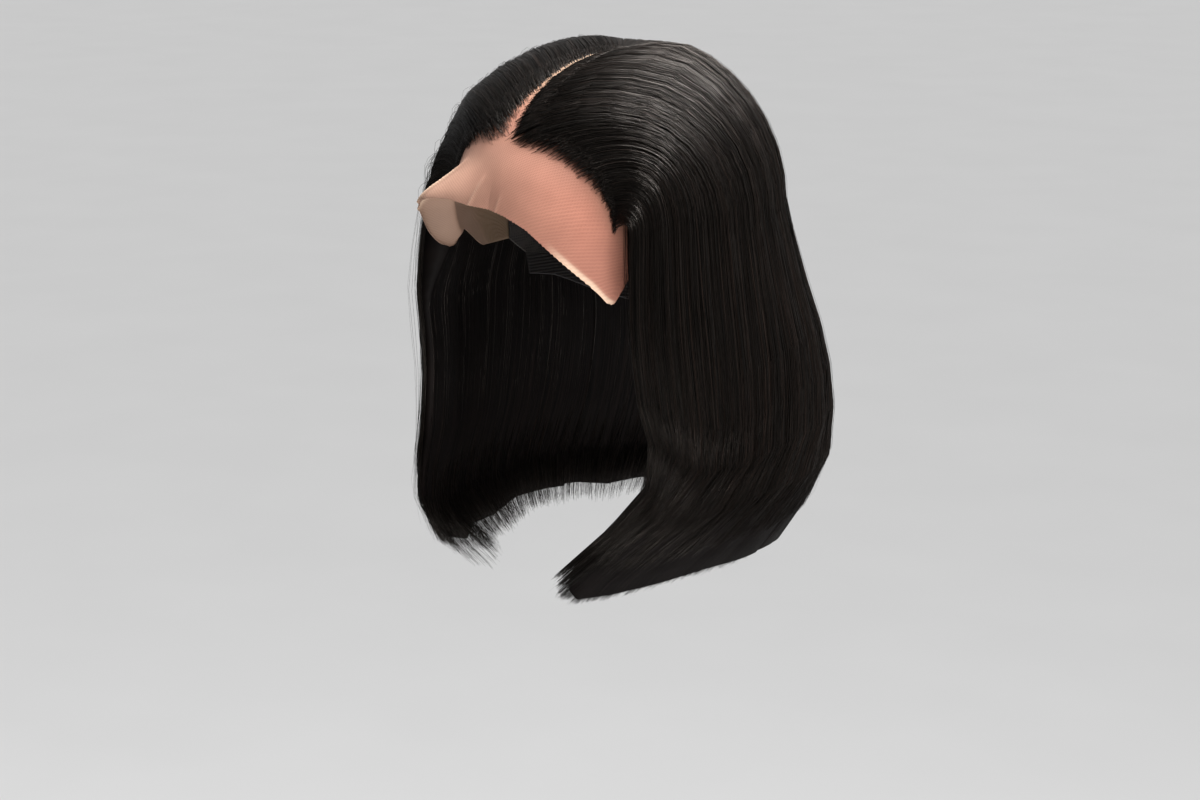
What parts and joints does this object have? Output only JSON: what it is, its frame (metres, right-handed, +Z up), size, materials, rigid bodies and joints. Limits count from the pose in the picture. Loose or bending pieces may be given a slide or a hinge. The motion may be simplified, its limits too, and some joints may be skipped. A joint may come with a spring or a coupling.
{
  "type": "lace-front bob wig",
  "caption": "Straight shoulder-length bob wig with a centre parting, a sheer lace front that runs on over the forehead, and a net cap open below for the head.",
  "frame": {"origin": "the top of the hollow, where the crown of the head meets the inside of the cap", "axes": "+Z up along the wearer's head, -Y out of the wearer's face, +X to the wearer's left"},
  "size_m": [0.2297, 0.2489, 0.304],
  "materials": {
    "lace": "sheer flesh-coloured monofilament net",
    "cap_net": "black stretch net",
    "nape_band": "black woven elastic",
    "hair": "natural black straight hair with a satin sheen"
  },
  "bodies": {
    "root": {"lace_front": "lace", "cap_net": "cap_net", "nape_band": "nape_band", "hair_left": "hair", "hair_right": "hair", "hair_back": "hair"}
  },
  "joints": []
}
